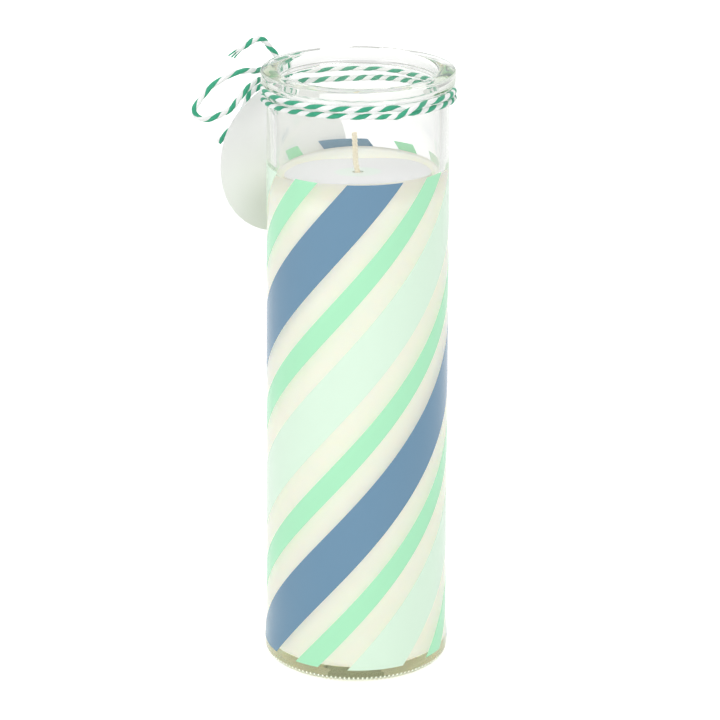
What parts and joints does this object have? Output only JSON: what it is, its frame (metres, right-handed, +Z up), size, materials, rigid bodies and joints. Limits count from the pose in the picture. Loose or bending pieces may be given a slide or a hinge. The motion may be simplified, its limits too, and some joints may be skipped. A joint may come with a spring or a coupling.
{
  "type": "jar candle",
  "caption": "Tall glass tube candle with helical printed stripes, poured wax, a wick, a paper dust cover, a twine bow and a card tag.",
  "frame": {"origin": "centre of the ring that the jar stands on", "axes": "+Z up along the jar, -Y towards the viewer; the bow and its tag are behind the left of the neck"},
  "size_m": [0.0856, 0.0642, 0.2092],
  "materials": {
    "glass": "clear, glossy",
    "blue_ink": "printed, satin",
    "mint_ink": "printed, satin",
    "pale_ink": "printed, satin",
    "wax": "soft, smooth",
    "cotton": "waxed braid",
    "tin": "tinned",
    "adhesive": "matt",
    "cover_paper": "matt",
    "twine": "two-ply cotton, one ply dyed",
    "card": "matt, uncoated"
  },
  "bodies": {
    "jar": {"glass_jar": "glass", "blue_stripe_1": "blue_ink", "blue_stripe_2": "blue_ink", "mint_stripe_1": "mint_ink", "mint_stripe_2": "mint_ink", "mint_stripe_3": "mint_ink", "mint_stripe_4": "mint_ink", "pale_stripe_1": "pale_ink", "pale_stripe_2": "pale_ink", "wax_fill": "wax", "wick": "cotton", "wick_foot": "tin", "wick_pad": "adhesive", "neck_twine": "twine", "bow_knot": "twine", "bow_loop": "twine", "upper_tail": "twine", "lower_tail": "twine"},
    "tag": {"hang_tag": "card"},
    "cover": {"dust_cover": "cover_paper"}
  },
  "joints": [
    {"name": "tag_swing", "type": "hinge", "parent": "jar", "child": "tag", "pos_m": [-0.02464, 0.02255, 0.1925], "axis": [-0.4226, 0.9063, 0], "range_deg": [-15, 15]},
    {"name": "cover_lift", "type": "slide", "parent": "jar", "child": "cover", "axis": [0, 0, 1], "range_m": [0, 0.04]}
  ]
}
